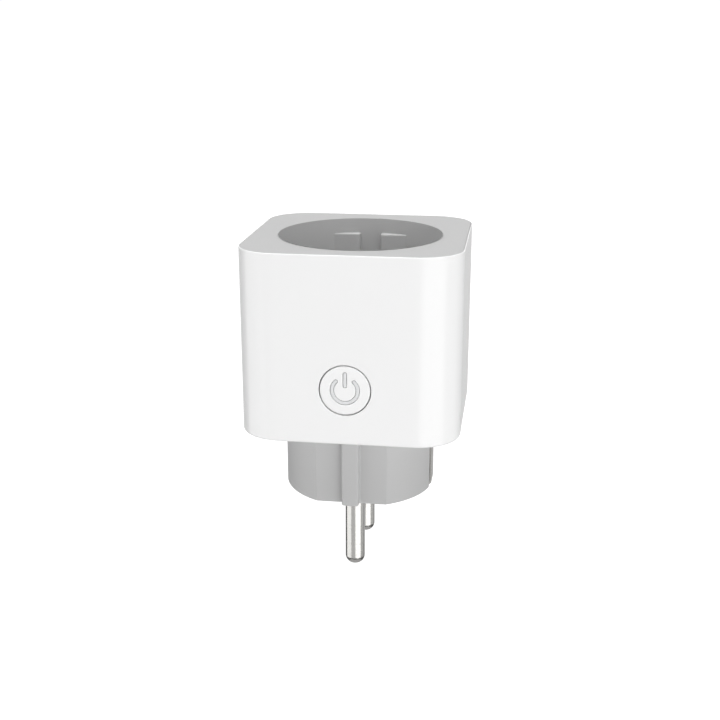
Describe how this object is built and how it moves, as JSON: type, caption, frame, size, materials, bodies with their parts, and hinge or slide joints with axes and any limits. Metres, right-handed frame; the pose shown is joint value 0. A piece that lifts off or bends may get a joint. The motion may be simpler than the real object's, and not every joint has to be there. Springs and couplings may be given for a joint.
{
  "type": "smart plug",
  "caption": "Square plug-in socket adapter with a round recessed outlet on top, a round power button on the front and a round base with two pins below.",
  "frame": {"origin": "centre of the plug face, between the two plug pins", "axes": "+Z from the plug face up to the socket, -Y out of the button face, the pins in a line along Y"},
  "size_m": [0.0516, 0.0516, 0.0818],
  "materials": {
    "white_abs": "satin white moulded plastic",
    "grey_abs": "fine-sparked light grey moulded plastic",
    "nickel": "nickel-plated brass",
    "spring_bronze": "bare spring bronze",
    "earth_brass": "stamped brass",
    "button_white": "satin white moulded plastic",
    "symbol_grey": "translucent light grey plastic",
    "carrier_black": "glass-filled black plastic",
    "shutter_grey": "moulded grey plastic",
    "spring_steel": "bright spring wire and strip",
    "board_green": "solder-masked glass-epoxy board",
    "relay_blue": "moulded blue case",
    "capacitor_yellow": "moulded yellow case",
    "capacitor_sleeve": "shrunk sleeve",
    "varistor_blue": "dipped epoxy coat",
    "ferrite": "sintered ferrite",
    "winding_tape": "polyester tape",
    "resistor_green": "painted resistor body",
    "chip_black": "moulded chip package",
    "shield_tin": "tin-plated steel",
    "screw_steel": "zinc-plated steel",
    "lamp_clear": "clear lamp"
  },
  "bodies": {
    "housing": {"housing_sleeve": "white_abs", "socket_cover": "grey_abs", "plug_base": "grey_abs", "plug_pin_live": "nickel", "plug_pin_neutral": "nickel", "plug_earth_left": "nickel", "plug_earth_right": "nickel", "earth_receptacle": "earth_brass", "earth_frame": "earth_brass", "earth_spring_left": "nickel", "earth_spring_right": "nickel", "earth_rivets": "earth_brass", "contact_carrier": "carrier_black", "live_contact": "spring_bronze", "neutral_contact": "spring_bronze", "shutter_spring": "spring_steel", "power_board": "board_green", "relay": "relay_blue", "film_capacitor": "capacitor_yellow", "electrolytic_capacitors": "capacitor_sleeve", "transformer_winding": "winding_tape", "transformer_core": "ferrite", "varistor": "varistor_blue", "fuse_resistor": "resistor_green", "choke": "ferrite", "bridge_rectifier": "chip_black", "metering_chip": "chip_black", "control_board": "board_green", "board_header": "chip_black", "wireless_module": "board_green", "module_shield": "shield_tin", "switch_case": "chip_black", "status_lamp": "lamp_clear", "case_screws": "screw_steel"},
    "button": {"button_cap": "button_white", "button_symbol": "symbol_grey"},
    "plunger": {"switch_plunger": "chip_black"},
    "shutter": {"shutter": "shutter_grey"}
  },
  "joints": [
    {"name": "button_press", "type": "slide", "parent": "housing", "child": "button", "axis": [0, 1, 0], "range_m": [0, 0.00035], "stiffness_N_per_m": 3000, "springref_m": -0.0001},
    {"name": "plunger_press", "type": "slide", "parent": "housing", "child": "plunger", "axis": [0, 1, 0], "range_m": [0, 0.00035]},
    {"name": "shutter_turn", "type": "hinge", "parent": "housing", "child": "shutter", "pos_m": [0, 0, 0.0423], "axis": [0, 0, 1], "range_deg": [0, 35], "stiffness_Nm_per_rad": 0.01, "springref_deg": -5.73, "deforming": ["shutter_spring"]}
  ],
  "couplings": [
    {"joint": "plunger_press", "follows": "button_press", "ratio": 1}
  ]
}
